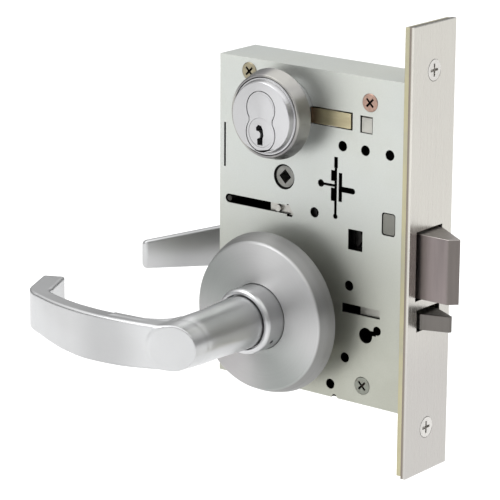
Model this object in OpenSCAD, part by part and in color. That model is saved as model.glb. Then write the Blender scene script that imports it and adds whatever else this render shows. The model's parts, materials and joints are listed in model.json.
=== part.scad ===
// Mortise lock with lever trim and a key cylinder.
// Origin: centre of the armored front's outer face. +X points out of the door edge, +Z up,
// -Y towards the outside (keyed) face of the door. All sizes in millimetres.

/* [Front] */
// Height of the front
front_h = 203.2; // [195:0.1:210]
// Width of the front
front_w = 31.75; // [31:0.05:32]
// Thickness of the armored front, and of the mounting plate behind it
armor_t = 2.4; // [2:0.1:3]
// Height of the two front screws above and below the middle
front_screw_z = 81; // [79:0.5:84]
// Height of the two mounting holes hidden behind the armored front
mount_hole_z = 92; // [89:0.5:94]
// Radius of the mounting holes
mount_hole_r = 2.9; // [2.6:0.1:3.2]

/* [Case] */
// Depth of the case behind the front
case_d = 103.2; // [103:0.1:104]
// Height of the case
case_h = 149.2; // [149:0.1:150]
// Thickness of the case
case_t = 25.4; // [25.2:0.1:25.6]
// Sheet thickness of the case and its cover
sheet = 1.6; // [1.4:0.1:1.8]
// How far the middle of the case is above the middle of the front
case_z = 1.8; // [1.5:0.1:2]

/* [Axes] */
// Backset: distance from the front's face to the lever and cylinder axes
backset = 69.85; // [69.5:0.05:70]
// Height of the lever axis
lever_z = -35.3; // [-35.5:0.1:-35]
// Height of the cylinder axis
cyl_z = 55.5; // [55:0.1:56]
// Height of the turn hub's axis, and how far it is behind the lever axis
turn_z = 24.85; // [24.8:0.05:25]
turn_back = 1.35; // [1.3:0.05:1.4]
// Half the thickness of the door the trim is set for
door_half = 22.2; // [22:0.1:22.4]

/* [Bolts] */
// Throw of the latchbolt
latch_throw = 19.05; // [18:0.05:19.1]
// Height of the latchbolt
latch_h = 29.2; // [28:0.1:29.4]
// Reach of the latchbolt's near and far sides from the middle of the case
bolt_near_w = 8.7; // [8:0.1:8.8]
bolt_far_w = 7.8; // [7:0.1:7.9]
// Height of the latchbolt's middle
latch_z = -4.9; // [-5.1:0.1:-4.7]
// Reach of the auxiliary latch beyond the front
aux_reach = 13.7; // [13:0.1:14]
// Height of the auxiliary latch and of its middle
aux_h = 7.3; // [7:0.1:7.5]
aux_z = -30.25; // [-30.4:0.05:-30.1]

/* [Trim] */
// Radius of the rose at its base and at its front face
rose_r = 37; // [36.5:0.1:37.5]
rose_front_r = 33.6; // [33:0.1:34]
// How far the rose's front face stands off the middle of the case
rose_front_y = 33.2; // [33:0.1:34]
// Radius of the bushing round the lever
bushing_r = 15; // [14.8:0.1:15.2]
// How far the bushing's front stands off the middle of the case
bushing_y = 44.6; // [44:0.1:45]
// Radius of the lever's shank in the bushing, and of its neck in front of it
shank_r = 9.3; // [9.2:0.05:9.4]
neck_r = 11.3; // [11:0.1:11.6]
// Thickness of the lever's grip
grip_t = 8.6; // [8:0.1:9]
// Length and turn of the outside lever's return
return_out = [21.5, 65];
// Length and turn of the inside lever's return
return_in = [70, 50];
// How far the inside lever hangs below level
inside_sag = 3; // [0:0.5:3]

/* [Hidden] */
$fn = 64;

e = 0.5;                                  // overshoot of a cut
plate_x = -2 * armor_t;                   // back of the mounting plate
case_back = plate_x - case_d;
case_hi = case_z + case_h / 2;
case_lo = case_z - case_h / 2;
skin = case_t / 2;                        // outer face of the case
inner = skin - sheet;                     // inner face of the case
axis_x = -backset;
fit = 0.08;                               // running clearance, radial
latch_open = [-20.4, 10.9];               // latchbolt opening, bottom and top
aux_open = [-34.7, -24.9];                // auxiliary latch opening
cyl_r = 14.6;                             // radius of the threaded shell
spindle = 8;                              // side of the square spindles
post_r = 2.9;                             // radius of the trim posts
posts = [[-91.85, -20.3], [-47.85, -50.3]];
screws = [[-91.2, 70.3], [-24.6, 65.2], [-26.4, -64], [-98, -62]];
small_holes = [[-39, 43.8], [-26.7, 43.6], [-13.6, 43.5], [-54, 11.3], [-44, -66.7],
    [-34.4, -19.1], [-36.2, -52.7]];
hole_r = 2.35;
head_r = 4.1;                             // countersunk head of a cover screw
screw_r = 1.85;
hub_r = 12;
journal_r = 9;
arm_r = 24.8;                             // hub axis to the tip of its arm
arm_tip_r = 2.6;
handle_turn = 45;                         // travel of the levers, degrees
arm_lean = handle_turn / 2;
lug_x = axis_x + arm_r * sin(arm_lean) - arm_tip_r - 0.3;
lug_w = 4;
tail_end = -75;
aux_pin_x = -20;
aux_travel = 12.5;
dead_arm = 34.8;
dead_x = aux_pin_x - aux_travel / 2;
dead_z = aux_z + dead_arm;
dead_lean = asin(aux_travel / 2 / dead_arm);
dead_r = 2.5;
turn_x = axis_x - turn_back;
turn_r = 5.4;
turn_nose_r = 4.9;                        // the turn hub's outside end, in the cover
turn_arm = 15.4;
turn_lean = 30;
core_lobes = [[3.6, 7], [-6.8, 7.6]];     // height above the cylinder axis, radius
core_flange = [[3.9, 7.6], [-7.3, 7.8]];  // the same for the core's front flange
plug_r = 6.6;
face_y = -31.8;                           // face of the key cylinder
core_back = -4.8;
turn_hole = 5.8;                          // side of the turn hub's square hole
turn_hole_out = 4.8;                      // the same at its outside end
neck_y = 42.1;                            // where the neck starts, in the bushing's recess
band_start = [6, 91.8];                   // where the grip's long curve starts
band_r = 106;                             // that curve, and its lean at either end
band_lean = 19;
curl_out = [13, 1.25, 1.2];                // bend radius, then the grip's thickness share after it
curl_in = [12, 0.8, 0.7];                  // and at the tip
blend_r = 20;                             // hollow between the neck and the grip
// Side outlines of the two grips: distance from the lever axis, top, bottom
edge_out = [[0, 9.3, -10.1], [23, 10, -11.3], [45, 10.1, -11.6], [60, 10.2, -10.2],
    [76, 10.4, -7.8], [97, 10.3, -7]];
edge_in = [[0, 9.3, -10.1], [23, 10, -11.3], [60, 10.2, -11.4], [97, 10.6, -10.4], [132, 4.2, -8]];
rim_y = 29.4;                             // front of the liner's rim, where the rose rests

module rod_y(x, z, y0, y1, r, r2) {
    translate([x, y0, z]) rotate([-90, 0, 0])
        cylinder(h = y1 - y0, r1 = r, r2 = is_undef(r2) ? r : r2);
}
module rod_x(y, z, x0, x1, r, r2) {
    translate([x0, y, z]) rotate([0, 90, 0])
        cylinder(h = x1 - x0, r1 = r, r2 = is_undef(r2) ? r : r2);
}
module box(x0, x1, y0, y1, z0, z1) {
    translate([x0, y0, z0]) cube([x1 - x0, y1 - y0, z1 - z0]);
}
// A box whose four edges along Y are rounded
module round_box(x0, x1, y0, y1, z0, z1, r) {
    box(x0 + r, x1 - r, y0, y1, z0, z1);
    box(x0, x1, y0, y1, z0 + r, z1 - r);
    for (x = [x0 + r, x1 - r], z = [z0 + r, z1 - r]) rod_y(x, z, y0, y1, r);
}
// A turned piece about an axis along Y: profile points are [radius, y]
module turned(x, z, profile) {
    translate([x, 0, z]) rotate([90, 0, 0]) rotate_extrude() polygon([for (p = profile) [p[0], -p[1]]]);
}
// A cross recess in a screw head whose face looks along -Y at y
module cross_y(x, z, y, size) {
    for (a = [45, -45]) translate([x, y, z]) rotate([0, a, 0]) cube([size, 3, size / 5], center = true);
}
module cross_x(y, z, x, size) {
    for (a = [0, 90]) translate([x, y, z]) rotate([a, 0, 0]) cube([3, size, size / 5], center = true);
}
// A coil along +X from x0 to x1
module coil(x0, x1, y, z, r, wire, turns) {
    sides = 6;
    steps = turns * 12;
    pitch = (x1 - x0 - 2 * wire) / steps;
    function ring(i) = [for (k = [0:sides - 1]) let (a = 30 * i, b = 360 * k / sides,
        q = r + wire * cos(b)) [x0 + wire + pitch * i + wire * sin(b), y + q * cos(a), z + q * sin(a)]];
    points = [for (i = [0:steps]) each ring(i)];
    walls = [for (i = [0:steps - 1], k = [0:sides - 1]) let (a = i * sides + k,
        b = i * sides + (k + 1) % sides) each [[a, b, b + sides], [a, b + sides, a + sides]]];
    ends = [[for (k = [sides - 1:-1:0]) k], [for (k = [0:sides - 1]) steps * sides + k]];
    polyhedron(points, concat(walls, ends));
}

// ---- Case ----
module side_holes(y0, y1) {
    for (h = small_holes) rod_y(h[0], h[1], y0, y1, hole_r);
    for (p = posts) rod_y(p[0], p[1], y0, y1, post_r + 0.4);
    rod_y(axis_x, lever_z, y0, y1, journal_r + fit);
    rod_y(axis_x, cyl_z, y0, y1, cyl_r + 0.1);
}
module case_box() {
    color([0.72, 0.72, 0.67]) difference() {
        box(case_back, plate_x, -inner, skin, case_lo, case_hi);
        box(case_back + sheet, plate_x - sheet, -skin, inner, case_lo + sheet, case_hi - sheet);
        side_holes(inner - e, skin + e);
        rod_y(turn_x, turn_z, inner - e, skin + e, turn_r + fit);
        for (z = [latch_open, aux_open]) box(plate_x - sheet - e, plate_x + e,
            -bolt_near_w - 0.3, bolt_far_w + 0.3, z[0], z[1] - 0.7);
        rod_x(-5, cyl_z, plate_x - sheet - e, plate_x + e, 2.3);
        for (z = [-58, 62]) rod_x(0, z, plate_x - sheet - e, plate_x + e, 2);
    }
}
module cross_cutout(y0, y1) {
    box(-43.2, -41.8, y0, y1, 10.7, 38);
    rod_y(-42.5, 11.4, y0, y1, 1.2);
    box(-43.5, -41.5, y0, y1, 33.4, 38.4);
    box(-45.1, -43.1, y0, y1, 27.3, 32.2);
    box(-45.1, -43.1, y0, y1, 18.2, 24.2);
    box(-40.9, -39, y0, y1, 18.4, 31.5);
    box(-50.6, -42.5, y0, y1, 24.7, 25.9);
    rod_y(-50.6, 25.3, y0, y1, 1.7);
    box(-39.5, -33.2, y0, y1, 22.9, 25.5);
    rod_y(-33.2, 24.2, y0, y1, 1.3);
}
module case_cover() {
    y0 = -skin - e;
    y1 = -inner + e;
    color([0.75, 0.75, 0.7]) difference() {
        box(case_back, plate_x - 0.8, -skin, -inner, case_lo, case_hi);
        side_holes(y0, y1);
        rod_y(turn_x, turn_z, y0, y1, turn_nose_r + fit);
        rod_y(turn_x, turn_z, y0, -skin + 0.8, 5.8);
        for (s = screws) {
            rod_y(s[0], s[1], y0, -skin + 0.05, head_r + 0.1);
            rod_y(s[0], s[1], -skin, -inner + 0.01, head_r + 0.1, screw_r + 0.1);
            rod_y(s[0], s[1], -inner - 0.1, y1, screw_r + 0.1);
        }
        for (k = [[-24.9, -40.3, 3.6], [-18.8, -37.1, 2.1]]) rod_y(k[0], k[1], y0, y1, k[2]);
        box(-23, -19.4, y0, y1, -39.8, -37.6);
        box(-102.6, -69, y0, y1, 7.9, 12);
        rod_y(-102.6, 9.95, y0, y1, 2.05);
        translate([-69, y1, 0]) rotate([90, 0, 0]) linear_extrude(y1 - y0)
            polygon([[-0.5, 6.9], [-0.5, 12.6], [0.6, 12.6], [3.2, 8.6], [2.4, 6.9]]);
        cross_cutout(y0, y1);
        box(-58, -33.8, y0, y1, 51.5, 59.5);
        box(-29.7, -23.1, y0, y1, 51.3, 59);
        round_box(-17.3, -10.1, y0, y1, 7.3, 17.6, 1.3);
        box(-35.3, -27.5, y0, y1, -2.4, 7);
        box(-38.1, -17.4, y0, y1, -31.6, -27.4);
        box(-105.6, -104.6, y0, y1, 24.6, 45);
        rod_y(-41.7, case_lo, y0, y1, 1.6);
    }
}
module cover_posts() {
    color("silver") for (s = screws) difference() {
        rod_y(s[0], s[1], -inner, inner, 3.6);
        rod_y(s[0], s[1], -inner - e, 1, screw_r + 0.05);
    }
}
module cover_screws() {
    color([0.62, 0.5, 0.4]) for (s = screws) difference() {
        union() {
            rod_y(s[0], s[1], -skin - 0.25, -skin, head_r - 0.3, head_r);
            rod_y(s[0], s[1], -skin, -inner, head_r, screw_r);
            rod_y(s[0], s[1], -inner, 0, screw_r);
        }
        cross_y(s[0], s[1], -skin, 5);
    }
}
module clamp_screw_guide() {
    color("silver") difference() {
        union() {
            box(-29, -23.5, -skin + 0.2, -1, 51.6, 58.3);
            box(-31.4, -21.4, -inner, -9.5, 50.6, 59.7);
        }
        rod_x(-5, cyl_z, -30, -23, 2.1);
    }
}
module latch_guide_block() {
    color([0.6, 0.6, 0.57]) {
        round_box(-16.8, -10.5, -skin + 0.2, -inner, 7.8, 17.1, 1.1);
        box(-19, -8.4, -inner, -bolt_near_w - 0.3, 6.4, 18.6);
    }
}
module slide_stop_pin() {
    color("silver") rod_y(-102.6, 9.95, -skin + 0.3, inner, 1.3);
}

// ---- Front ----
module front_openings(x0, x1) {
    box(x0, x1, -10.8, 8.8, latch_open[0], latch_open[1]);
    box(x0, x1, -9.3, 8, aux_open[0], aux_open[1]);
}
module front_mounting_plate() {
    color([0.66, 0.65, 0.5]) difference() {
        box(plate_x, -armor_t, -front_w / 2 + 0.3, front_w / 2 - 0.3, -front_h / 2 + 1, front_h / 2 - 0.3);
        front_openings(plate_x - e, -armor_t + e);
        for (s = [-1, 1]) rod_x(0, s * front_screw_z, plate_x - e, -armor_t + e, 2.25);
        for (s = [-1, 1]) rod_x(0, s * mount_hole_z, plate_x - e, -armor_t + e, mount_hole_r);
        rod_x(-5, cyl_z, plate_x - e, -armor_t + e, 3.6);
        for (z = [-58, 62]) rod_x(0, z, plate_x - e, -armor_t + e, 2);
    }
}
module plate_rivets() {
    color("silver") for (z = [-58, 62]) {
        rod_x(0, z, plate_x - sheet, -armor_t, 1.95);
        rod_x(0, z, plate_x - sheet - 1, plate_x - sheet, 3.2);
    }
}
module armored_front() {
    color([0.8, 0.78, 0.75]) difference() {
        box(-armor_t, 0, -front_w / 2, front_w / 2, -front_h / 2, front_h / 2);
        front_openings(-armor_t - e, e);
        for (s = [-1, 1]) {
            rod_x(0, s * front_screw_z, -armor_t, 0.001, 2.4, 4.9);
            rod_x(0, s * front_screw_z, -armor_t - e, -armor_t + 0.05, 2.4);
        }
    }
}
module armored_front_screws() {
    color("silver") for (s = [-1, 1]) difference() {
        union() {
            rod_x(0, s * front_screw_z, -armor_t, 0, 2.2, 4.75);
            rod_x(0, s * front_screw_z, plate_x - 4, -armor_t + 0.3, 2.2);
        }
        cross_x(0, s * front_screw_z, 0, 5.6);
    }
}

// ---- Latchbolt and its tail ----
module latchbolt() {
    x0 = -20;
    w = bolt_near_w;
    color([0.55, 0.5, 0.47]) difference() {
        translate([0, 0, latch_z - latch_h / 2]) linear_extrude(latch_h)
            polygon([[x0, -w], [latch_throw - 3.5, -w], [latch_throw, -w + 3.6], [0.6, bolt_far_w],
                [x0, bolt_far_w]]);
        box(x0 - e, x0 + 6, -3.1, 3.1, -7.05, -0.95);
        rod_y(x0 + 3, -4, -w - e, w + e, 1.55);
    }
}
module latch_tail() {
    color("silver") difference() {
        union() {
            box(tail_end, -14.1, -3, 3, -7, -1);
            box(lug_x - lug_w, lug_x, -7, 7, -13.2, -6.9);
            difference() {
                box(-40, -20.2, -7.4, -3, -7, 6.5);
                for (a = [-52, 52]) translate([-31.4, -7.4, 2.4]) rotate([0, a, 0])
                    cube([13, 2.4, 1.6], center = true);
                box(-35.6, -27.2, -7.9, -6.6, -2.8, 7);
            }
            for (a = [-52, 52]) translate([-31.4, -7, 2]) rotate([0, a, 0])
                cube([9.5, 1.2, 1.8], center = true);
        }
        rod_y(-17, -4, -9, 9, 1.55);
    }
}
module latch_tail_pin() {
    color("silver") rod_y(-17, -4, -bolt_near_w + 0.1, bolt_far_w - 0.1, 1.5);
}
module latch_spring() {
    color("gainsboro") coil(-104.8, tail_end - 0.1, 0, -4, 3.7, 0.5, 8);
}
module latch_spring_guide() {
    color("silver") {
        rod_x(0, -4, case_back + sheet, case_back + sheet + 1.4, 4.5);
        rod_x(0, -4, case_back + sheet, -95.5, 2.4);
    }
}

// ---- Auxiliary latch and deadlocking lever ----
module aux_latch() {
    x0 = -14;
    w = 7.6;
    color([0.5, 0.47, 0.44]) difference() {
        translate([0, 0, aux_z - aux_h / 2]) linear_extrude(aux_h)
            polygon([[x0, -w], [0.5, -w], [aux_reach - 0.5, -3.2], [aux_reach, -2.3],
                [aux_reach - 0.5, -1.4], [0.5, 5.4], [x0, w]]);
        box(x0 - e, x0 + 4, -w - e, -w + 1.2, aux_z - aux_h, aux_z + aux_h);
    }
}
module aux_latch_tail() {
    color("silver") {
        box(-29.2, -14, -10.9, -3, -31.5, -27.5);
        box(-27.9, -14, -3, 7.4, -32.5, -29.1);
        rod_y(aux_pin_x, aux_z, 7.4, inner - 0.2, 1.4);
    }
}
module aux_spring() {
    color("gainsboro") coil(-49.9, -28, 2, aux_z, 2.4, 0.4, 7);
}
module aux_spring_stop() {
    color("silver") box(-52.5, -50, -4, inner, -34, -27);
}
module deadlock_lever() {
    y0 = 8.45;
    y1 = 10.65;
    slot = 1.4 + 0.5;
    color([0.7, 0.68, 0.6]) difference() {
        union() {
            rod_y(dead_x, dead_z, y0, y1, 5);
            translate([dead_x, y0, dead_z]) rotate([0, -dead_lean, 0]) {
                box(-4, 4, 0, y1 - y0, -dead_arm - 4.5, 0);
                box(-18, 0, 0, y1 - y0, -2.5, 3);
                box(-18, -14, 0, y1 - y0, -7, 0);
            }
        }
        rod_y(dead_x, dead_z, y0 - e, y1 + e, dead_r + fit);
        translate([dead_x, y0, dead_z]) rotate([0, -dead_lean, 0])
            box(-slot, slot, -e, 3, -dead_arm - 5, -dead_arm + 3.5);
    }
}
module deadlock_pivot() {
    color("silver") {
        rod_y(dead_x, dead_z, 8.35, inner, dead_r);
        rod_y(dead_x, dead_z, 8.05, 8.35, dead_r + 1.2);
    }
}

// ---- Hubs, spindles and levers; side -1 is the outside, 1 the inside ----
module hub(side) {
    difference() {
        mirror([0, side > 0 ? 0 : 1, 0]) {
            rod_y(axis_x, lever_z, 0.4, inner - 0.15, hub_r);
            rod_y(axis_x, lever_z, inner - 0.2, skin + 0.2, journal_r);
            translate([axis_x, 1, lever_z]) rotate([0, arm_lean, 0]) {
                box(-1.8, 1.8, 0, 6, 0, arm_r);
                translate([0, 0, arm_r]) rotate([-90, 0, 0]) cylinder(h = 6, r = arm_tip_r);
            }
        }
        translate([axis_x, 0, lever_z]) cube([spindle + 0.1, 60, spindle + 0.1], center = true);
    }
}
module outside_hub() { color([0.62, 0.6, 0.55]) hub(-1); }
module inside_hub() { color([0.62, 0.6, 0.55]) hub(1); }
module half_spindle(side) {
    translate([axis_x, side * 31, lever_z]) cube([spindle, 60, spindle], center = true);
}
module outside_spindle() { color("gray") half_spindle(-1); }
module inside_spindle() { color("gray") half_spindle(1); }

// The grip's path is a list of [point, heading, share of the thickness]. A point is the distance
// from the lever's axis and from the middle of the case; a heading of 90 points straight out.
function turn(p, r, h0, h1) = [p[0] + r * (sin(h0) - sin(h1)), p[1] + r * (cos(h1) - cos(h0))];
function bend(p, r, h0, h1, t0, t1, n) = [for (i = [1:n])
    let (h = h0 + (h1 - h0) * i / n) [turn(p, r, h0, h), h, t0 + (t1 - t0) * i / n]];
function path(ret, curl_shape) = let (
    start = band_start - 20 * [cos(band_lean), sin(band_lean)],
    band = bend(band_start, band_r, band_lean, -band_lean, 1, 0.9, 10),
    curl = bend(band[9][0], curl_shape[0], -band_lean, -ret[1], 0.9, curl_shape[1], 6),
    tip = [curl[5][0] + ret[0] * [cos(ret[1]), -sin(ret[1])], -ret[1], curl_shape[2]])
    concat([[start, band_lean, 1], [band_start, band_lean, 1]], band, curl, [tip]);
function side(p, s) = [for (q = p) q[0] + s * q[2] * grip_t / 2 * [-sin(q[1]), cos(q[1])]];
function reversed(a) = [for (i = [len(a) - 1:-1:0]) a[i]];
module in_plan(h) { translate([0, 0, -h]) linear_extrude(2 * h) mirror([1, 0]) children(); }
module in_side(y) { translate([0, y, 0]) rotate([90, 0, 0]) linear_extrude(y) mirror([1, 0]) children(); }
// The shank stands along +Y here, and the grip goes towards -X
module neck(front) {
    rod_y(0, 0, 26, neck_y + 1, shank_r);
    intersection() {
        turned(0, 0, [[0, neck_y], [12, neck_y], [12, 50], [neck_r, 66], [neck_r, 80], [9.8, 90], [9.6, 98],
            [0, 98]]);
        in_plan(20) polygon(concat([[12, 20], [-14, 20]], front));
    }
}
module grip(p, edge) {
    intersection() {
        in_plan(20) polygon(concat(side(p, 1), reversed(side(p, -1))));
        in_side(120) {
            translate([0, -0.4]) circle(9.7);
            polygon(concat([for (q = edge) [q[0], q[1]]], [for (q = reversed(edge)) [q[0], q[2]]]));
        }
    }
    // hollow blend from the neck into the back of the grip
    corner = [neck_r + blend_r, 93 - blend_r];
    intersection() {
        in_plan(20) difference() {
            translate([0, corner[1]]) square([corner[0], blend_r + 1]);
            translate(corner) circle(blend_r);
        }
        in_side(120) polygon([[0, 9.3], [8, 7.4], [16, 9], [corner[0], 10], [corner[0], -11.2], [16, -9.6],
            [8, -7.6], [0, -9.7]]);
    }
}
module lever(ret, curl_shape, edge, sag) {
    p = path(ret, curl_shape);
    difference() {
        union() {
            neck([for (i = [0:3]) side(p, 1)[i]]);
            rotate([0, -sag, 0]) grip(p, edge);
        }
        translate([0, 40, 0]) cube([spindle + 0.1, 44, spindle + 0.1], center = true);
    }
}
module outside_lever() {
    color([0.72, 0.72, 0.72]) translate([axis_x, 0, lever_z]) mirror([0, 1, 0])
        lever(return_out, curl_out, edge_out, 0);
}
module inside_lever() {
    color([0.68, 0.68, 0.68]) translate([axis_x, 0, lever_z]) lever(return_in, curl_in, edge_in, inside_sag);
}

// ---- Roses ----
module rose() {
    f = rose_front_y;
    hole = bushing_r + 0.2;
    turned(0, 0, [[hole, f], [rose_front_r - 0.3, f], [rose_front_r + 0.4, f - 0.4],
        [rose_r - 1.1, f - 4.6], [rose_r, f - 8.7], [rose_r - 1.7, f - 8.7], [rose_front_r + 0.9, rim_y],
        [rose_front_r - 0.6, rim_y], [rose_front_r - 1.4, f - 1.6], [hole, f - 1.6]]);
}
module bushing() {
    bore = shank_r + fit;
    difference() {
        turned(0, 0, [[bore, 31.6], [bushing_r, 31.6], [bushing_r, bushing_y - 1.8],
            [bushing_r - 0.4, bushing_y - 0.6], [bushing_r - 1.2, bushing_y], [12.8, bushing_y],
            [12.5, bushing_y - 0.4], [12.5, neck_y - 0.3], [bore, neck_y - 0.3]]);
        rotate([0, 32, 0]) rod_x(bushing_y - 5.4, 0, 11.5, bushing_r + 1, 1);
    }
}
module rose_liner(posts_len) {
    difference() {
        union() {
            turned(0, 0, [[11.2, door_half], [34, door_half], [34, rim_y], [32.4, rim_y], [32.4, 26.4],
                [bushing_r, 26.4], [bushing_r, 31.6], [14, 31.6], [14, 26.2], [11.2, 26.2]]);
            if (posts_len > 0) for (p = posts)
                rod_y(p[0] - axis_x, p[1] - lever_z, door_half - posts_len, door_half + 0.2, post_r);
        }
        for (p = posts) rod_y(p[0] - axis_x, p[1] - lever_z, -2, posts_len > 0 ? 24 : 40, 2.05);
        if (posts_len == 0) for (p = posts)
            rod_y(p[0] - axis_x, p[1] - lever_z, 24.6, 40, 3.6);
    }
}
module at_side(side) {
    translate([axis_x, 0, lever_z]) mirror([0, side > 0 ? 0 : 1, 0]) children();
}
module outside_rose() { color([0.7, 0.7, 0.7]) at_side(-1) rose(); }
module inside_rose() { color([0.7, 0.7, 0.7]) at_side(1) rose(); }
module outside_bushing() { color([0.65, 0.65, 0.65]) at_side(-1) bushing(); }
module inside_bushing() { color([0.65, 0.65, 0.65]) at_side(1) bushing(); }
module outside_rose_liner() { color("gray") at_side(-1) rose_liner(door_half - 1); }
module inside_rose_liner() { color("gray") at_side(1) rose_liner(0); }
module through_bolts() {
    color("silver") for (p = posts) difference() {
        union() {
            rod_y(p[0], p[1], -20, 24.65, 2);
            rod_y(p[0], p[1], 24.65, 26.3, 3.4);
        }
        cross_y(p[0], p[1], 27, 4);
    }
}
// Torsion spring that brings a lever back to level, in the liner's recess
module hub_spring() {
    rotate([0, 0, 90]) coil(26.6, 31.2, 0, 0, 11.6, 0.6, 3);
}
module outside_hub_spring() { color("dimgray") at_side(-1) hub_spring(); }
module inside_hub_spring() { color("dimgray") at_side(1) hub_spring(); }

// ---- Key cylinder ----
module core_prism(lobes, y0, y1, grow) {
    waist = (lobes[0][0] + lobes[1][0]) / 2;
    translate([axis_x, y1, cyl_z]) rotate([90, 0, 0]) linear_extrude(y1 - y0) {
        for (l = lobes) translate([0, l[0]]) circle(r = l[1] + grow);
        translate([0, waist]) square([12.4 + 2 * grow, 4], center = true);
    }
}
module cylinder_shell() {
    color([0.82, 0.82, 0.82]) difference() {
        union() {
            turned(axis_x, cyl_z, [[0, face_y], [15.5, face_y], [15.8, face_y + 0.3], [16.5, face_y + 2.8],
                [17.2, face_y + 2.8], [17.2, face_y + 3.4], [cyl_r - 0.5, face_y + 3.4], [cyl_r - 0.5, -22],
                [0, -22]]);
            rod_y(axis_x, cyl_z, -22, 0, cyl_r);
        }
        core_prism(core_flange, face_y - e, face_y + 1.65, 0.35);
        core_prism(core_lobes, face_y, core_back + 0.3, 0.05);
        rod_y(axis_x, cyl_z, core_back, e, 5.1);
        box(axis_x + 12.9, axis_x + 20, -16, e, cyl_z - 3.75, cyl_z + 3.75);
    }
}
module cylinder_collar() {
    f = face_y + 2.8;
    color([0.78, 0.78, 0.78]) turned(axis_x, cyl_z, [[17.35, f + 0.6], [17.6, f], [18.4, f], [18.8, f + 0.5],
        [20.6, -door_half], [cyl_r + 0.2, -door_half], [cyl_r + 0.2, f + 0.8]]);
}
module core_body() {
    color([0.85, 0.85, 0.85]) difference() {
        union() {
            core_prism(core_flange, face_y + 0.1, face_y + 1.6, 0);
            core_prism(core_lobes, face_y, core_back, 0);
        }
        rod_y(axis_x, cyl_z + core_lobes[1][0], face_y - 1, core_back + e, plug_r);
    }
}
module core_plug() {
    color([0.85, 0.83, 0.8]) difference() {
        rod_y(axis_x, cyl_z + core_lobes[1][0], face_y + 0.1, core_back, plug_r - 0.05);
        translate([axis_x, -10, cyl_z + core_lobes[1][0]]) rotate([90, 0, 0]) linear_extrude(30)
            polygon([[-1.4, 3.3], [0.3, 3], [1.2, 1.1], [1.6, -1.2], [1.1, -2.6], [1.1, -5.7],
                [-1.8, -5.7], [-1.9, -3.1], [-0.3, -2.2], [-0.2, -0.4], [-1, 0.4], [-2.4, 0.6],
                [-2.6, 2]]);
    }
}
module throw_member() {
    color("silver") rod_y(axis_x, cyl_z, core_back + 0.4, 0.4, 5);
}
module cylinder_cam() {
    color([0.75, 0.68, 0.45]) difference() {
        union() {
            rod_y(axis_x, cyl_z, 0.4, 3.2, 8.5);
            intersection() {
                rod_y(axis_x, cyl_z, 0.4, 3.2, 14.5);
                box(axis_x - 4, axis_x + 4, 0, 4, cyl_z - 20, cyl_z);
            }
        }
        for (s = [-1, 1]) rod_y(axis_x + s * 3, cyl_z, 0, 4, 1.05);
    }
}
module cam_screws() {
    color("silver") for (s = [-1, 1]) {
        rod_y(axis_x + s * 3, cyl_z, 0.4, 3.2, 1);
        rod_y(axis_x + s * 3, cyl_z, 3.2, 4.2, 1.9);
    }
}
module clamp_bar() {
    color([0.7, 0.6, 0.35]) difference() {
        box(-56.6, -34.9, -skin + 0.2, -2, cyl_z - 3.6, cyl_z + 3.3);
        rod_x(-5, cyl_z, -46, -34, 2.1);
    }
}
module clamp_screw() {
    color("silver") difference() {
        union() {
            rod_x(-5, cyl_z, -45, plate_x + e, 2);
            rod_x(-5, cyl_z, plate_x + 0.1, -armor_t - 0.2, 3.4);
        }
        cross_x(-5, cyl_z, -armor_t, 4);
    }
}

// ---- Turn hub and locking slide ----
module turn_hub() {
    color([0.75, 0.75, 0.75]) difference() {
        union() {
            rod_y(turn_x, turn_z, -skin + 0.9, -inner + 0.1, turn_nose_r);
            rod_y(turn_x, turn_z, -inner + 0.1, skin + 0.1, turn_r);
            translate([turn_x, -9, turn_z]) rotate([0, -turn_lean, 0]) {
                box(-1.5, 1.5, 0, 4, -turn_arm, 0);
                translate([0, 0, -turn_arm]) rotate([-90, 0, 0]) cylinder(h = 4, r = 2);
            }
            rod_y(turn_x, turn_z, -9, -5, 7.5);
        }
        for (h = [[turn_hole, 8], [turn_hole_out, 0]]) translate([turn_x, h[1], turn_z])
            rotate([0, 45, 0]) cube([h[0], h[1] > 0 ? 20 : 40, h[0]], center = true);
    }
}
module locking_slide() {
    fork_x = turn_x + turn_arm * sin(turn_lean);
    color([0.8, 0.8, 0.8]) {
        box(-80, -54, -10.9, -9.3, 7.2, 12.4);
        for (s = [-1, 1]) box(fork_x + s * 4.3 - 1.25, fork_x + s * 4.3 + 1.25, -9.4, -5, 7.2, 12);
        rod_y(-74.7, 9.8, -skin + 0.1, -10.8, 1.6);
    }
}

case_box();
case_cover();
cover_posts();
cover_screws();
front_mounting_plate();
plate_rivets();
armored_front();
armored_front_screws();
latchbolt();
latch_tail();
latch_tail_pin();
latch_spring();
latch_spring_guide();
aux_latch();
aux_latch_tail();
aux_spring();
aux_spring_stop();
deadlock_lever();
deadlock_pivot();
outside_hub();
inside_hub();
outside_spindle();
inside_spindle();
outside_lever();
inside_lever();
outside_rose();
inside_rose();
outside_bushing();
inside_bushing();
outside_rose_liner();
inside_rose_liner();
through_bolts();
cylinder_shell();
cylinder_collar();
core_body();
core_plug();
throw_member();
cylinder_cam();
cam_screws();
clamp_bar();
clamp_screw();
clamp_screw_guide();
latch_guide_block();
turn_hub();
locking_slide();
slide_stop_pin();
outside_hub_spring();
inside_hub_spring();
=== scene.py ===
"""Looks of the mortise lock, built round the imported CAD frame. Metres, in the frame's own axes:
origin at the centre of the armored front's outer face, +X out of the door edge, +Z up,
-Y towards the outside (keyed) face of the door. Shapes below are worked out in millimetres."""
import json
import math

import bmesh
import bpy
import numpy as np
from mathutils import Matrix, Vector


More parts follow.
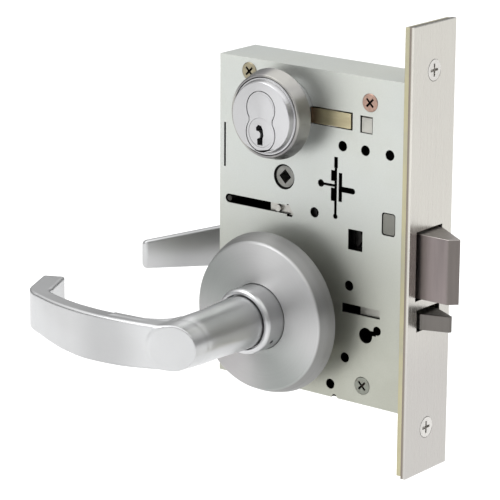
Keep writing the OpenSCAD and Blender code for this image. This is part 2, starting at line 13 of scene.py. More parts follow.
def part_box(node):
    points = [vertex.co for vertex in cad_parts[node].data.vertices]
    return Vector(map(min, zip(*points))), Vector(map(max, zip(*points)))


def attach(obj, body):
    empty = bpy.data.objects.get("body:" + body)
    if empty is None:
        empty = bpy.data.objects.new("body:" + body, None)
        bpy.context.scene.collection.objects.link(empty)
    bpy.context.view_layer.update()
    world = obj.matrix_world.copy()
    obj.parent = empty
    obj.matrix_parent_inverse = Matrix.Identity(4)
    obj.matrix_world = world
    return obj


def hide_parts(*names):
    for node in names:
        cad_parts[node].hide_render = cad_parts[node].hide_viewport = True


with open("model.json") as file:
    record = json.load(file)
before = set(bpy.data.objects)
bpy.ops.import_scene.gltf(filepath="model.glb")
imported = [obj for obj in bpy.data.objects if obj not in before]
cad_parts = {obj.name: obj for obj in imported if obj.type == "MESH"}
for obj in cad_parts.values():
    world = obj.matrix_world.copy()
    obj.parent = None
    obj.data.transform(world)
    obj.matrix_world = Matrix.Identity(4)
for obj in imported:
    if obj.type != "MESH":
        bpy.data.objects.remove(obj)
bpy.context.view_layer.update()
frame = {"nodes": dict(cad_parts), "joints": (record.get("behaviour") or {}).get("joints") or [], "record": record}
MM = 0.001
scene = bpy.context.scene


def corner(node, which, axis):
    """Lowest (0) or highest (1) coordinate of a CAD node along an axis, in millimetres."""
    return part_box(node)[which]["xyz".index(axis)] / MM


def joint_point(name):
    return Vector(next(j for j in frame["joints"] if j["name"] == name)["pos_m"]) / MM


LEVER_AXIS = joint_point("outside_handle_turn")
CYLINDER_AXIS = joint_point("cam_turn")
OUTSIDE, INSIDE = -1, 1   # sign of Y on each face of the door
CASE_LOW = [corner("case_cover", 0, a) for a in "xyz"]
CASE_HIGH = [corner("case_box", 1, a) for a in "xyz"]
GRIP_MIDDLE = 100         # how far the middle of a grip is from the front, in millimetres
ROSE_FACE = 33.2 * MM     # how far the roses' faces are from the middle of the door


# ---------------------------------------------------------------- materials
class Material:
    """A procedural metal: a base colour that drifts towards others, and a fine grain in its roughness."""

    def __init__(self, name, color, roughness, anisotropy=0.0):
        self.material = bpy.data.materials.new(name)
        self.material.use_nodes = True
        self.nodes = self.material.node_tree.nodes
        self.bsdf = self.nodes["Principled BSDF"]
        self.bsdf.inputs["Metallic"].default_value = 1.0
        self.bsdf.inputs["Anisotropic"].default_value = anisotropy
        self.place = self.add("ShaderNodeTexCoord").outputs["Object"]
        self.paint = color   # a plain colour until the first drift makes it a socket
        self.roughness = roughness

    def add(self, kind, **settings):
        node = self.nodes.new(kind)
        for key, value in settings.items():
            setattr(node, key, value)
        return node

    def link(self, source, target):
        self.material.node_tree.links.new(source, target)

    def noise(self, scale, detail=3, stretch=(1, 1, 1)):
        """Noise whose features are longer along the axes with a small stretch factor."""
        node = self.add("ShaderNodeMapping")
        node.inputs["Scale"].default_value = stretch
        self.link(self.place, node.inputs["Vector"])
        return self.noise_over(node.outputs["Vector"], scale, detail)

    def noise_over(self, vector, scale, detail=3):
        node = self.add("ShaderNodeTexNoise")
        node.inputs["Scale"].default_value = scale
        node.inputs["Detail"].default_value = detail
        self.link(vector, node.inputs["Vector"])
        return node.outputs["Fac"]

    def remap(self, value, low, high, to_low=0.0, to_high=1.0):
        node = self.add("ShaderNodeMapRange")
        node.interpolation_type = "SMOOTHSTEP"
        for socket, number in zip(("From Min", "From Max", "To Min", "To Max"), (low, high, to_low, to_high)):
            node.inputs[socket].default_value = number
        self.link(value, node.inputs["Value"])
        return node.outputs["Result"]

    def math(self, operation, *values):
        node = self.add("ShaderNodeMath", operation=operation)
        for socket, value in zip(node.inputs, values):
            if isinstance(value, (int, float)):
                socket.default_value = value
            else:
                self.link(value, socket)
        return node.outputs[0]

    def vector_math(self, operation, vector, constant=None):
        node = self.add("ShaderNodeVectorMath", operation=operation)
        self.link(vector, node.inputs[0])
        if constant is not None:
            node.inputs[1].default_value = constant
        return node

    def split(self, vector):
        node = self.add("ShaderNodeSeparateXYZ")
        self.link(vector, node.inputs["Vector"])
        return [node.outputs[axis] for axis in "XYZ"]

    def axis(self, name):
        return self.split(self.place)["XYZ".index(name)]

    def along(self, name, start, end, to_start=0.0, to_end=1.0):
        """Runs smoothly from 0 to 1 between two coordinates along an axis, in millimetres."""
        return self.remap(self.axis(name), start * MM, end * MM, to_start, to_end)

    def from_point(self, centre):
        """The place relative to a point given in millimetres."""
        return self.vector_math("SUBTRACT", self.place, [c * MM for c in centre]).outputs[0]

    def rings(self, centre):
        """Coordinates (distance from a turning axis, depth) for a grain that runs in circles."""
        offset = self.from_point(centre)
        flat = self.vector_math("MULTIPLY", offset, (1, 0, 1)).outputs[0]
        ring = self.add("ShaderNodeCombineXYZ")
        self.link(self.vector_math("LENGTH", flat).outputs["Value"], ring.inputs["X"])
        self.link(self.split(offset)[1], ring.inputs["Y"])
        return ring.outputs[0]

    def sector(self, centre):
        """Swings between -1 and 1 twice a turn round a line along Y, highest towards up and +X."""
        x, _, z = self.split(self.from_point(centre))
        square = self.math("ADD", self.math("MULTIPLY", x, x), self.math("MULTIPLY", z, z))
        return self.math("DIVIDE", self.math("MULTIPLY", self.math("MULTIPLY", x, z), 2.0), square)

    def put_paint(self, socket):
        if isinstance(self.paint, (tuple, list)):
            socket.default_value = (*self.paint, 1)
        else:
            self.link(self.paint, socket)

    def drift(self, factor, color):
        """Mixes the colour so far towards another one."""
        node = self.add("ShaderNodeMix", data_type="RGBA")
        self.link(factor, node.inputs["Factor"])
        self.put_paint(node.inputs["A"])
        node.inputs["B"].default_value = (*color, 1)
        self.paint = node.outputs["Result"]

    def paint_shade_inside(self, low, high, start, end, color=(0.012, 0.012, 0.011)):
        """Paints shade: darkens what lies deeper than `start`..`end` millimetres inside a box of the object."""
        centre = [(a + b) / 2 for a, b in zip(low, high)]
        half = [(b - a) / 2 * MM for a, b in zip(low, high)]
        size = self.vector_math("ABSOLUTE", self.from_point(centre)).outputs[0]
        x, y, z = self.split(self.vector_math("SUBTRACT", size, half).outputs[0])
        near = self.math("MAXIMUM", self.math("MAXIMUM", x, y), z)
        self.drift(self.remap(near, -end * MM, -start * MM, 1, 0), color)

    def radial_tangent(self):
        """Stretches reflections the way a face turned about Y does."""
        tangent = self.add("ShaderNodeTangent", direction_type="RADIAL", axis="Y")
        self.link(tangent.outputs[0], self.bsdf.inputs["Tangent"])
        self.bsdf.inputs["Anisotropic Rotation"].default_value = 0.25

    def finish(self, grain, vary, depth=0.0):
        """The grain varies the roughness, and scratches the surface `depth` millimetres deep."""
        self.put_paint(self.bsdf.inputs["Base Color"])
        rough = self.remap(grain, 0.3, 0.7, self.roughness - vary, self.roughness + vary)
        self.link(rough, self.bsdf.inputs["Roughness"])
        if depth:
            bump = self.add("ShaderNodeBump")
            bump.inputs["Distance"].default_value = depth * MM
            bump.inputs["Strength"].default_value = 1
            self.link(grain, bump.inputs["Height"])
            self.link(bump.outputs["Normal"], self.bsdf.inputs["Normal"])
        return self.material


def case_zinc():
    """Zinc-plated sheet, with painted shade: a little yellower and darker downwards, and dark inside the case."""
    m = Material("zinc_sheet", (0.53, 0.55, 0.53), 0.48)
    m.drift(m.remap(m.noise(11, 2), 0.35, 0.65), (0.555, 0.57, 0.53))
    # painted shade: yellower and darker towards the bottom of the case
    m.drift(m.along("Z", 30, -60), (0.39, 0.395, 0.345))
    m.drift(m.remap(m.noise(60, 4), 0.45, 0.75, 0, 0.25), (0.50, 0.51, 0.46))
    # painted shade: dark inside the case, where little light reaches
    m.paint_shade_inside(CASE_LOW, CASE_HIGH, 0.1, 0.5)
    return m.finish(m.noise(1500, 4), 0.05, 0.004)


def plate_zinc():
    """Yellow zinc of the plate behind the front."""
    m = Material("yellow_zinc", (0.42, 0.39, 0.26), 0.4)
    m.drift(m.remap(m.noise(40, 3), 0.4, 0.65), (0.36, 0.35, 0.27))
    return m.finish(m.noise(500, 4, (1, 1, 0.05)), 0.06, 0.01)


def front_satin():
    """Warm satin front, brushed along Z, with painted shade darker downwards and behind its face."""
    m = Material("satin_front", (0.53, 0.515, 0.475), 0.25)
    m.drift(m.remap(m.noise(14, 2), 0.35, 0.65), (0.515, 0.50, 0.465))
    # painted shade: darker towards the bottom
    m.drift(m.along("Z", -10, -60), (0.45, 0.435, 0.415))
    # painted shade: brownish dark on the front's sides, behind its face
    behind_face = ([-20, -30, -200], [0, 30, 200])
    m.paint_shade_inside(*behind_face, 0.7, 1.6, (0.20, 0.175, 0.15))
    return m.finish(m.noise(1500, 4, (1, 1, 0.02)), 0.05, 0.0015)


def satin_chrome():
    """The trim's satin chrome, with painted shade by the middle of each grip and on the inside of the door."""
    m = Material("satin_chrome", (0.53, 0.535, 0.54), 0.33)
    m.drift(m.remap(m.noise(22, 2), 0.35, 0.65), (0.47, 0.472, 0.475))
    # painted shade: darker round the middle of each grip
    from_middle = m.math("ABSOLUTE", m.math("ADD", m.axis("X"), GRIP_MIDDLE * MM))
    m.drift(m.remap(from_middle, 3 * MM, 22 * MM, 0.8, 0), (0.37, 0.372, 0.375))
    # painted shade: darker on the inside of the door
    m.drift(m.along("Y", 30, 50), (0.34, 0.342, 0.345))
    return m.finish(m.noise(1200, 3, (0.06, 1, 1)), 0.02)


def turned_chrome():
    """The roses: turned, with painted highlights swinging in soft sectors and lighter towards +X and up, and
    painted shade on the sloping side.
    """
    m = Material("turned_chrome", (0.33, 0.345, 0.335), 0.5, anisotropy=0.75)
    m.radial_tangent()
    centre = (LEVER_AXIS.x, 0, LEVER_AXIS.z)
    # painted highlight: soft sectors that stand in for the turned face's reflections
    m.drift(m.remap(m.sector(centre), -0.9, 0.9, 0, 0.8), (0.46, 0.445, 0.45))
    # painted highlight: lighter towards +X and up
    m.drift(m.remap(m.math("ADD", m.axis("X"), m.axis("Z")), -120 * MM, -70 * MM), (0.50, 0.50, 0.50))
    from_door = m.math("ABSOLUTE", m.axis("Y"))
    # painted shade: darker on the sloping side
    m.drift(m.remap(from_door, ROSE_FACE - 0.2 * MM, ROSE_FACE - 1.4 * MM), (0.25, 0.25, 0.245))
    return m.finish(m.noise_over(m.rings(centre), 1500), 0.03)


def cylinder_satin():
    m = Material("cylinder_satin", (0.43, 0.43, 0.435), 0.32, anisotropy=0.5)
    # painted light: the cylinder lighter towards +X
    m.drift(m.along("X", -78, -56), (0.50, 0.50, 0.51))
    m.radial_tangent()
    return m.finish(m.noise_over(m.rings((CYLINDER_AXIS.x, 0, CYLINDER_AXIS.z)), 1500), 0.03)


def collar_satin():
    """The collar: painted reflections, broad dark and light bands that run along Y."""
    m = Material("collar_satin", (0.34, 0.335, 0.315), 0.3)
    m.drift(m.remap(m.noise(55, 2, (1, 0.05, 1)), 0.42, 0.58), (0.21, 0.205, 0.205))
    return m.finish(m.noise(300, 3, (1, 0.05, 1)), 0.02)


def bolt_steel():
    """Dull dark steel: the small latch darker, painted shade on the chamfer and a painted highlight on the
    latchbolt's top.
    """
    m = Material("bolt_steel", (0.23, 0.198, 0.195), 0.36)
    m.drift(m.remap(m.noise(120, 4, (1, 1, 0.1)), 0.4, 0.7), (0.19, 0.165, 0.162))
    m.drift(m.along("Z", -22, -24), (0.145, 0.135, 0.126))
    # painted shade: the chamfer darker
    m.drift(m.along("X", 14.5, 15.5, 0, 0.6), (0.12, 0.112, 0.10))
    # painted highlight: the latchbolt's top face lighter
    top = corner("latchbolt", 1, "z")
    m.drift(m.along("Z", top - 0.3, top - 0.1), (0.46, 0.43, 0.41))
    return m.finish(m.noise(900, 4, (1, 1, 0.04)), 0.06, 0.004)


def clamp_brass():
    """Brass clamp bar, with painted shadow dark towards the cylinder."""
    m = Material("brass", (0.50, 0.45, 0.29), 0.42)
    m.drift(m.remap(m.noise(180, 4, (0.25, 1, 1)), 0.4, 0.65), (0.42, 0.37, 0.24))
    # painted shadow towards the cylinder
    m.drift(m.along("X", -49, -56), (0.15, 0.10, 0.06))
    return m.finish(m.noise(900, 4, (0.05, 1, 1)), 0.06, 0.004)


def screw_bronze():
    """Cover screws: brass near the top corner, copper beside it, grey-green at the bottom."""
    m = Material("plated_screw", (0.22, 0.23, 0.20), 0.42)
    m.drift(m.along("Z", 0, 20), (0.38, 0.255, 0.205))
    m.drift(m.math("MULTIPLY", m.along("Z", 0, 20), m.along("X", -50, -70)), (0.30, 0.27, 0.19))
    # painted shade: dark where the screws sink inside the case
    m.paint_shade_inside(CASE_LOW, CASE_HIGH, -0.15, 0.15, (0.03, 0.022, 0.018))
    m.drift(m.remap(m.noise(700, 3), 0.5, 0.75, 0, 0.5), (0.16, 0.13, 0.11))
    return m.finish(m.noise(900, 3), 0.08, 0.01)


def plain(name, color, roughness=0.4, scratch=0.8):
    """One steel colour, worn to `scratch` of its brightness in patches."""
    m = Material(name, color, roughness)
    m.drift(m.remap(m.noise(90, 4), 0.4, 0.7), [c * scratch for c in color])
    return m.finish(m.noise(600, 4), 0.06, 0.01)


def slide_steel():
    """The locking slide is bright at the end that shows in the long slot, with painted shade dark further in."""
    m = Material("slide_steel", (0.45, 0.44, 0.41), 0.36)
    # painted shade: near black further inside the case
    m.drift(m.along("X", -63, -59), (0.02, 0.02, 0.02))
    return m.finish(m.noise(900, 4), 0.06, 0.004)


MATERIALS = {
    "case_zinc": case_zinc(), "plate_zinc": plate_zinc(), "front_satin": front_satin(),
    "satin_chrome": satin_chrome(), "cylinder_satin": cylinder_satin(), "bolt_steel": bolt_steel(),
    "clamp_brass": clamp_brass(), "screw_bronze": screw_bronze(),
    "spring_steel": plain("spring_steel", (0.30, 0.30, 0.30)),
    "plain_steel": plain("plain_steel", (0.42, 0.415, 0.38)),
}
TURNED, COLLAR = turned_chrome(), collar_satin()
# painted shade: the works inside the case are made near black, as they lie in shade
PAINTED_SHADE_STEEL = plain("shade_dark_steel", (0.05, 0.048, 0.045), 0.5)
SPECIAL = {"armored_front_screws": plain("front_screw", (0.60, 0.585, 0.56), 0.3, 0.9),
           "latch_guide_block": plain("guide_steel", (0.20, 0.20, 0.18), 0.42, 0.9),
           "locking_slide": slide_steel(), "turn_hub": plain("hub_steel", (0.24, 0.24, 0.225), 0.45, 0.5)}
HIDDEN_WORKS = ("latch_tail", "latch_tail_pin", "latch_spring", "latch_spring_guide", "aux_spring",
                "aux_spring_stop", "deadlock_lever", "deadlock_pivot", "inside_hub",
                "outside_hub_spring", "inside_hub_spring", "cover_posts",
                "cylinder_cam", "cam_screws", "slide_stop_pin")
COILS = ("latch_spring", "aux_spring", "outside_hub_spring", "inside_hub_spring")
USUAL_EASE = 0.15      # bevel of a CAD edge in millimetres, unless the next table says otherwise
EASED_EDGE = {"armored_front": 0.7, "front_mounting_plate": 0.3, "latchbolt": 0.35, "aux_latch": 0.35,
              "case_box": 0.5, "case_cover": 0.12, "core_body": 0.12, "core_plug": 0.12}


def slot_of(node):
    return next(s["material_slot"] for s in frame["record"]["subparts"] if s["node"] == node)


def material_of(node):
    if node in HIDDEN_WORKS:
        return PAINTED_SHADE_STEEL
    return SPECIAL.get(node) or MATERIALS[slot_of(node)]


def dress_cad_nodes():
    """Every CAD node gets its material, and its edges are eased by a small bevel."""
    for name, node in frame["nodes"].items():
        node.data.materials.clear()
        node.data.materials.append(material_of(name))
        for polygon in node.data.polygons:
            polygon.use_smooth = False
        if name in COILS:
            continue
        weld = node.modifiers.new("weld", "WELD")
        weld.merge_threshold = 0.004 * MM
        flat = node.modifiers.new("flat", "DECIMATE")
        flat.decimate_type = "DISSOLVE"
        flat.angle_limit = math.radians(0.5)
        bevel = node.modifiers.new("bevel", "BEVEL")
        bevel.width = EASED_EDGE.get(name, USUAL_EASE) * MM
        bevel.segments = 2
        bevel.limit_method = "ANGLE"
        bevel.angle_limit = math.radians(40)
        bevel.use_clamp_overlap = True


# ---------------------------------------------------------------- building pieces
def make_piece(name, points, faces, body, stands_for, material=None, crease=30):
    """A new mesh from points in millimetres, riding on a body in place of a CAD node."""
    mesh = bpy.data.meshes.new(name)
    mesh.from_pydata([[c * MM for c in p] for p in points], [], [list(f) for f in faces])
    cleaner = bmesh.new()
    cleaner.from_mesh(mesh)
    bmesh.ops.recalc_face_normals(cleaner, faces=cleaner.faces)
    cleaner.to_mesh(mesh)
    cleaner.free()
    mesh.shade_smooth()
    mesh.set_sharp_from_angle(angle=math.radians(crease))
    mesh.materials.append(material or MATERIALS[slot_of(stands_for)])
    piece = bpy.data.objects.new(name, mesh)
    scene.collection.objects.link(piece)
    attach(piece, body)
    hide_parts(stands_for)
    slot_of(stands_for)
    return piece


def soften(outline, radius, steps=4):
    """A closed outline with each corner rounded; radius is a number or one per corner."""
    count = len(outline)
    radii = radius if isinstance(radius, (list, tuple)) else [radius] * count
    smooth = []
    for i, here in enumerate(outline):
        here = np.array(here, float)
        to_last, to_next = np.array(outline[i - 1]) - here, np.array(outline[(i + 1) % count]) - here
        reach = min(np.linalg.norm(to_last), np.linalg.norm(to_next)) * 0.49
        a, b = to_last / np.linalg.norm(to_last), to_next / np.linalg.norm(to_next)
        half = math.acos(max(-1.0, min(1.0, float(a @ b)))) / 2
        cut = min(radii[i] / max(math.tan(half), 1e-6), reach)
        if cut < 1e-3:
            smooth.append(here)
            continue
        start, end = here + a * cut, here + b * cut
        for k in range(steps + 1):
            t = k / steps
            smooth.append((1 - t) ** 2 * start + 2 * t * (1 - t) * here + t ** 2 * end)
    return smooth


def lathe(outline, axis, side, steps=256):
    """A ring-shaped solid: outline of (radius, |Y|) turned about a line along Y."""
    count = len(outline)
    turns = np.linspace(0, 2 * math.pi, steps, endpoint=False)
    points = [(axis.x + r * math.cos(t), side * y, axis.z + r * math.sin(t))
              for t in turns for r, y in outline]
    faces = [(i * count + j, i * count + (j + 1) % count,
              (i + 1) % steps * count + (j + 1) % count, (i + 1) % steps * count + j)
             for i in range(steps) for j in range(count)]
    return points, faces


def drill(piece, start, end, radius):
    """Cuts a small round hole through a piece, between two points in millimetres."""
    start, end = Vector(start) * MM, Vector(end) * MM
    tool = bmesh.new()
    turn = (end - start).to_track_quat("Z", "Y").to_matrix().to_4x4()
    bmesh.ops.create_cone(tool, cap_ends=True, segments=32, radius1=radius * MM, radius2=radius * MM,
                          depth=(end - start).length, matrix=Matrix.Translation((start + end) / 2) @ turn)
    mesh = bpy.data.meshes.new("drill")
    tool.to_mesh(mesh)
    tool.free()
    cutter = bpy.data.objects.new("drill", mesh)
    scene.collection.objects.link(cutter)
    cut = piece.modifiers.new("cut", "BOOLEAN")
    cut.operation, cut.solver, cut.object = "DIFFERENCE", "EXACT", cutter
    bpy.context.view_layer.update()
    shaped = bpy.data.meshes.new_from_object(piece.evaluated_get(bpy.context.evaluated_depsgraph_get()))
    piece.modifiers.clear()
    shaped.name = piece.data.name
    piece.data = shaped
    bpy.data.objects.remove(cutter)


def meet(a, b, radius):
    """Intersection of two distance fields, its edge rounded."""
    flat = np.minimum(np.maximum(a, b), -radius)
    return flat + np.hypot(np.maximum(a + radius, 0), np.maximum(b + radius, 0))


def join(a, b, radius):
    """Union of two distance fields, its inner corner filleted."""
    return -meet(-a, -b, radius)


def blob(field, low, high, step):
    """The closed surface where a distance field is zero: one point per crossed cell, pulled onto it."""
    axes = [np.arange(a, b + step, step) for a, b in zip(low, high)]
    value = field(axes[0][:, None, None], axes[1][None, :, None], axes[2][None, None, :])
    inside = value < 0
    corners = [inside[i:i - 1 or None, j:j - 1 or None, k:k - 1 or None]
               for i in (0, 1) for j in (0, 1) for k in (0, 1)]
    total = sum(c.astype(np.int8) for c in corners)
    cells = np.argwhere((total > 0) & (total < 8))
    index = -np.ones(total.shape, int)
    index[tuple(cells.T)] = np.arange(len(cells))
    points = np.stack([axes[i][0] + (cells[:, i] + 0.5) * step for i in range(3)], 1)
    for _ in range(6):
        points = onto(field, points, step)
    faces = []
    for axis in range(3):
        first, second = [a for a in range(3) if a != axis]
        crossing = np.diff(inside.astype(np.int8), axis=axis)
        here = np.argwhere(crossing != 0)
        here = here[(here[:, first] > 0) & (here[:, second] > 0)]
        quad = []
        for di, dj in ((0, 0), (1, 0), (1, 1), (0, 1)):
            cell = here.copy()
            cell[:, first] -= di
            cell[:, second] -= dj
            quad.append(index[tuple(cell.T)])
        faces.append(np.stack(quad, 1))
    return points, np.concatenate(faces)


def slope_of(field, points, reach):
    return np.stack([(field(*(points + nudge).T) - field(*(points - nudge).T)) / (2 * reach)
                     for nudge in np.eye(3) * reach], 1)


def onto(field, points, step):
    """One Newton step of the points towards the field's zero surface."""
    here, slope = field(*points.T), slope_of(field, points, 0.01)
    size = np.maximum((slope ** 2).sum(1), 0.05)
    move = -(here / size)[:, None] * slope
    length = np.linalg.norm(move, axis=1)
    return points + move * np.minimum(1, 0.5 * step / np.maximum(length, 1e-9))[:, None]


# ---------------------------------------------------------------- levers
# u runs from the lever's axis towards the hinge side, v away from the door, h up
GRIP = 8.6                              # thickness of the grip at its root
BAND_START, BAND_RADIUS, BAND_LEAN = (6, 91.8), 106, math.radians(19)
CURL = {OUTSIDE: (13, 1.25, 1.2),       # bend radius, then thickness shares after it and at the tip
        INSIDE: (12, 0.8, 0.7)}
RETURN = {OUTSIDE: (21.5, math.radians(65)),   # straight length after the curl, and its lean
          INSIDE: (70, math.radians(50))}
EDGES = {OUTSIDE: [(0, 9.3, -10.1), (23, 10, -11.3), (45, 10.1, -11.6), (60, 10.2, -10.2), (76, 10.4, -7.8),
                   (97, 10.3, -7)],     # rows of u, top, bottom
         INSIDE: [(0, 9.3, -10.1), (23, 10, -11.3), (60, 10.2, -11.4), (97, 10.6, -10.4), (132, 4.2, -8)]}
SAG = {OUTSIDE: 0.0, INSIDE: math.radians(3)}
TIP_ROUND = {OUTSIDE: 4.2, INSIDE: 2.4}
CROWN = {OUTSIDE: 0.0, INSIDE: 0.9}     # how much thinner the grip is at its top and bottom edges
ROUND_END = 9.7                         # radius of the grip's round end, and how far it hangs low
ROUND_END_DROP = 0.4
EASE = 1.3                              # rounding of the grip's and the neck's edges
SHANK_RADIUS, SHANK_FROM, SHANK_TO = 9.3, 26, 44
NECK_FROM, NECK_STEP = 42.1, 43.1       # where the neck starts, in the bushing's recess, and widens
NECK = [(43.15, 12), (50, 12), (66, 11.3), (80, 11.3), (90, 9.8), (98, 9.6)]   # rows of v, radius
HOLLOW_CENTRE, HOLLOW_RADIUS = (31.3, 73), 20       # scoop between the neck and the grip
BLEND_SIDE = [(0, 9.3, -9.7), (8, 7.4, -7.6), (16, 9, -9.6), (31.3, 10, -11.2)]   # rows of u, top, bottom
SOCKET, SOCKET_TO = 4.05, 62            # half the square spindle hole, and its depth
FACET_AT, FACET_LEAN = (2, 94.97), math.radians(24.5)   # the front's round end is turned a little
CELL = 0.6                              # size of the cells that the levers are meshed with


def smooth_table(rows, reach):
    """Straight-line table turned into smoothly bending curves, as functions of its first column."""
    table = np.array(rows, float)
    x = np.linspace(table[0, 0] - 30, table[-1, 0] + 30, 1200)
    width = max(3, int(reach / (x[1] - x[0])))
    window = np.hanning(width + 2)[1:-1]
    window /= window.sum()
    curves = []
    for column in table.T[1:]:
        y = np.interp(x, table[:, 0], column)
        padded = np.concatenate([np.full(width, y[0]), y, np.full(width, y[-1])])
        curves.append(np.convolve(padded, window, "same")[width:-width])
    return [lambda q, y=y: np.interp(q, x, y) for y in curves]


def centre_line(side):
    """Points (u, v, thickness share) down the middle of the grip, from its root to its tip."""
    straight, lean = RETURN[side]
    curl_radius, curl_share, tip_share = CURL[side]
    heading = BAND_LEAN
    place = np.array(BAND_START, float)
    back = place - 20 * np.array([math.cos(heading), math.sin(heading)])
    line = [(*back, 1.0), (*place, 1.0)]

    def bend(radius, to, share_from, share_to, steps):
        nonlocal heading, place
        begin, origin = heading, place.copy()
        for k in range(1, steps + 1):
            heading = begin + (to - begin) * k / steps
            place = origin + radius * np.array([math.sin(begin) - math.sin(heading),
                                                math.cos(heading) - math.cos(begin)])
            line.append((*place, share_from + (share_to - share_from) * k / steps))

    bend(BAND_RADIUS, -BAND_LEAN, 1.0, 0.9, 60)
    bend(curl_radius, -lean, 0.9, curl_share, 24)
    tip = place + straight * np.array([math.cos(lean), -math.sin(lean)])
    line.append((*tip, tip_share))
    return np.array(line)


def across(line, u, v):
    """Distances from the centre line (signed outwards, then plain), half thickness, and overshoot."""
    shape = np.broadcast(u, v).shape
    best = np.full(shape, 1e9)
    signed, half = np.zeros(shape), np.zeros(shape)
    for (au, av, at), (bu, bv, bt) in zip(line[:-1], line[1:]):
        du, dv = bu - au, bv - av
        length = math.hypot(du, dv)
        t = np.clip(((u - au) * du + (v - av) * dv) / length ** 2, 0, 1)
        eu, ev = u - au - t * du, v - av - t * dv
        distance = np.hypot(eu, ev)
        closer = distance < best
        best = np.where(closer, distance, best)
        signed = np.where(closer, distance * np.sign(ev * du - eu * dv), signed)
        half = np.where(closer, (at + (bt - at) * t) * GRIP / 2, half)
    (au, av, _), (bu, bv, _) = line[-2:]
    length = math.hypot(bu - au, bv - av)
    past_tip = ((u - bu) * (bu - au) + (v - bv) * (bv - av)) / length
    return signed, best, half, past_tip


def lever_field(side):
    line = centre_line(side)
    top, bottom = smooth_table(EDGES[side], 16)
    (neck_radius,) = smooth_table(NECK, 8)
    blend_top, blend_bottom = smooth_table(BLEND_SIDE, 6)
    sag = SAG[side]

    def grip(gu, gh, distance, half, past_tip):
        around_end = np.hypot(gu, gh + ROUND_END_DROP) - ROUND_END
        edge = np.where(gu < 0, around_end, np.maximum(gh - top(gu), bottom(gu) - gh))
        faces = distance - half + CROWN[side] * (gh / 10) ** 2
        return meet(meet(faces, edge, EASE), past_tip, TIP_ROUND[side])

    def blend(u, v, gu, gh, signed):
        away = HOLLOW_RADIUS - np.hypot(u - HOLLOW_CENTRE[0], v - HOLLOW_CENTRE[1])
        hollow = meet(away, np.maximum(u - HOLLOW_CENTRE[0], HOLLOW_CENTRE[1] - v), 0.5)
        flank = np.maximum(gh - blend_top(gu), blend_bottom(gu) - gh)
        return meet(np.maximum(hollow, np.maximum(-u, signed)), flank, 1.4)

    def neck(u, v, h, signed, half):
        radius = np.where(v < NECK_STEP, SHANK_RADIUS, neck_radius(v))
        return meet(meet(np.hypot(u, h) - radius, signed - half, EASE), NECK_FROM - v, 0.4)

    def field(u, v, h):
        gu, gh = u * math.cos(sag) - h * math.sin(sag), h * math.cos(sag) + u * math.sin(sag)
        signed, distance, half, past_tip = across(line, u, v)
        body = join(grip(gu, gh, distance, half, past_tip), blend(u, v, gu, gh, signed), 1.5)
        body = join(body, neck(u, v, h, signed, half), 2.2)
        facet = math.cos(FACET_LEAN) * (v - FACET_AT[1]) - math.sin(FACET_LEAN) * (u - FACET_AT[0])
        body = meet(body, facet, 0.3)
        shank = np.maximum(np.hypot(u, h) - SHANK_RADIUS, np.maximum(SHANK_FROM - v, v - SHANK_TO))
        socket = np.maximum(np.maximum(np.abs(u), np.abs(h)) - SOCKET, v - SOCKET_TO)
        return np.maximum(np.minimum(body, shank), -socket)

    return field


def build_lever(side, name, body):
    """One lever: its field is meshed, and shaded by the field's own slope."""
    tip_u = centre_line(side)[-1][0]
    field = lever_field(side)
    lowest = -17 if side == INSIDE else -13.2
    points, faces = blob(field, (-13, 25, lowest), (tip_u + 6, 104, 12.5), CELL)
    u, v, h = points.T
    placed = np.stack([LEVER_AXIS.x - u, side * v, LEVER_AXIS.z + h], 1)
    lever = make_piece(name + "_body", placed.tolist(), faces.tolist(), body, name, crease=180)
    slope = slope_of(field, points, 0.2) * (-1, side, 1)
    lever.data.normals_split_custom_set_from_vertices(slope / np.linalg.norm(slope, axis=1)[:, None])
    return lever


# ---------------------------------------------------------------- turned parts
# outlines of (radius, |Y|), each with one rounding per corner
ROSE = [(15.2, 33.2), (33.3, 33.2), (34, 32.8), (35.9, 28.6), (37, 24.5), (35.3, 24.5), (34.5, 29.4),
        (33, 29.4), (32.2, 31.6), (15.2, 31.6)]
ROSE_ROUND = [0.2, 0.5, 0.6, 6, 0.2, 0.2, 0.5, 0.3, 0.3, 0.2]
BUSHING = [(9.38, 31.6), (15, 31.6), (15, 42.8), (14.6, 44), (13.8, 44.6), (12.8, 44.6), (12.5, 44.2),
           (12.5, 41.8), (9.38, 41.8)]
BUSHING_ROUND = [0.1, 0.1, 1.2, 0.5, 0.4, 0.3, 0.2, 0.2, 0.2]
SET_SCREW_LEAN, SET_SCREW_Y, SET_SCREW_RADIUS = math.radians(-32), 39.2, 1.0
COLLAR_RING = [(17.35, 28.4), (17.6, 29), (18.4, 29), (18.8, 28.5), (20.6, 22.2), (14.8, 22.2),
               (14.8, 28.2)]
COLLAR_ROUND = [0.1, 0.2, 0.3, 0.4, 0.3, 0.2, 0.2]


def build_collar():
    outline = soften(COLLAR_RING, COLLAR_ROUND, 5)
    make_piece("cylinder_collar_turned", *lathe(outline, CYLINDER_AXIS, OUTSIDE), "lock_case",
               "cylinder_collar", COLLAR)


def build_rose(side, name):
    outline = soften(ROSE, ROSE_ROUND, 6)
    make_piece(name + "_rose_turned", *lathe(outline, LEVER_AXIS, side), "lock_case", name + "_rose", TURNED)


def build_bushing(side, name):
    """The ring in the rose that the lever turns in, with the small hole to reach its set screw."""
    outline = soften(BUSHING, BUSHING_ROUND, 6)
    ring = make_piece(name + "_bushing_turned", *lathe(outline, LEVER_AXIS, side, 192), "lock_case",
                      name + "_bushing")
    inner, outer = ((LEVER_AXIS.x + r * math.cos(SET_SCREW_LEAN), side * SET_SCREW_Y,
                     LEVER_AXIS.z + r * math.sin(SET_SCREW_LEAN)) for r in (11, 16))
    drill(ring, inner, outer, SET_SCREW_RADIUS)
    ring.data.shade_smooth()
    ring.data.set_sharp_from_angle(angle=math.radians(30))


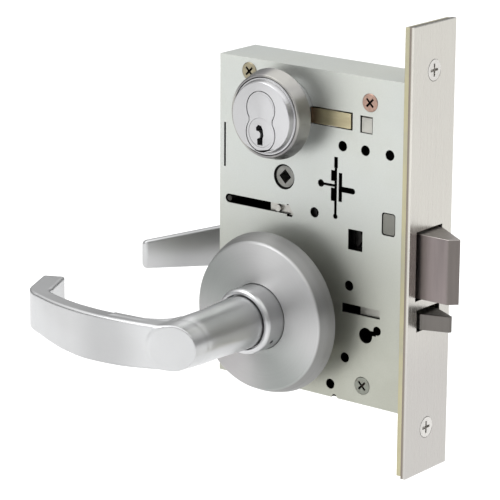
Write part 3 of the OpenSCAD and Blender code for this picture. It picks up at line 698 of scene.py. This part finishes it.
for side, name in ((OUTSIDE, "outside"), (INSIDE, "inside")):
    build_rose(side, name)
    build_bushing(side, name)
build_collar()
for side, name in ((OUTSIDE, "outside"), (INSIDE, "inside")):
    build_lever(side, name + "_lever", name + "_handle")
dress_cad_nodes()

# ---------------------------------------------------------------- camera, light and floor
AZIMUTH, ELEVATION, ROLL = (math.radians(a) for a in (38.23, 15.56, -0.31))
AIM = Vector((-61.93, -48.78, 0.31)) * MM
DISTANCE = 1.19488
LENS, SENSOR = 196.8, 36
FLOOR_GAP = 0.16       # the floor is this far below the front's lower end
LIGHTS_AIM = (-0.07, 0, 0)


def camera():
    back = Vector((math.sin(AZIMUTH) * math.cos(ELEVATION), -math.cos(AZIMUTH) * math.cos(ELEVATION),
                   math.sin(ELEVATION)))
    right = Vector((math.cos(AZIMUTH), math.sin(AZIMUTH), 0))
    turn = Matrix.Rotation(ROLL, 3, "Z")
    view = Matrix((right, back.cross(right), back)).transposed() @ turn.transposed()
    cam = bpy.data.objects.new("camera", bpy.data.cameras.new("camera"))
    cam.data.lens = LENS
    cam.data.sensor_width = SENSOR
    cam.data.clip_end = 20
    cam.matrix_world = Matrix.Translation(AIM + back * DISTANCE) @ view.to_4x4()
    scene.collection.objects.link(cam)
    scene.camera = cam


def area_light(name, place, width, height, power):
    data = bpy.data.lights.new(name, "AREA")
    data.shape = "RECTANGLE"
    data.size = width
    data.size_y = height
    data.energy = power
    lamp = bpy.data.objects.new(name, data)
    lamp.location = place
    lamp.rotation_euler = (Vector(LIGHTS_AIM) - Vector(place)).to_track_quat("-Z", "Y").to_euler()
    scene.collection.objects.link(lamp)


def floor(height):
    mesh = bpy.data.meshes.new("floor")
    grid = bmesh.new()
    bmesh.ops.create_grid(grid, x_segments=1, y_segments=1, size=12)
    grid.to_mesh(mesh)
    grid.free()
    ground = bpy.data.objects.new("floor", mesh)
    ground.location = (0, 0, height)
    material = bpy.data.materials.new("pale_floor")
    material.use_nodes = True
    bsdf = material.node_tree.nodes["Principled BSDF"]
    bsdf.inputs["Base Color"].default_value = (0.94, 0.94, 0.94, 1)
    bsdf.inputs["Roughness"].default_value = 0.9
    bsdf.inputs["Specular IOR Level"].default_value = 0.1
    mesh.materials.append(material)
    scene.collection.objects.link(ground)


def studio():
    """A bright dome that dims downwards, with a key light and a weak front light."""
    world = bpy.data.worlds.new("studio")
    world.use_nodes = True
    nodes, links = world.node_tree.nodes, world.node_tree.links
    background = nodes["Background"]
    place = nodes.new("ShaderNodeTexCoord")
    split = nodes.new("ShaderNodeSeparateXYZ")
    links.new(place.outputs["Generated"], split.inputs["Vector"])

    def ramp(source, stops):
        node = nodes.new("ShaderNodeValToRGB")
        node.color_ramp.interpolation = "EASE"
        for position, level in stops[1:-1]:
            node.color_ramp.elements.new(position).color = (level, level, level, 1)
        for element, (_, level) in zip((node.color_ramp.elements[0], node.color_ramp.elements[-1]),
                                       (stops[0], stops[-1])):
            element.color = (level, level, level, 1)
        links.new(source, node.inputs["Fac"])
        return node.outputs["Color"]

    by_height = ramp(split.outputs["Z"], [(0.0, 0.16), (0.2, 0.18), (0.5, 0.5), (0.75, 1.0), (1.0, 1.0)])
    background.inputs["Strength"].default_value = 1.75
    links.new(by_height, background.inputs["Color"])
    scene.world = world
    scene.view_settings.view_transform = "Standard"
    area_light("key", (-0.9, -1.3, 1.6), 1.0, 1.0, 12)
    area_light("front", (-0.5, -1.5, 0.3), 0.9, 0.7, 2.5)


camera()
floor(corner("armored_front", 0, "z") * MM - FLOOR_GAP)
studio()
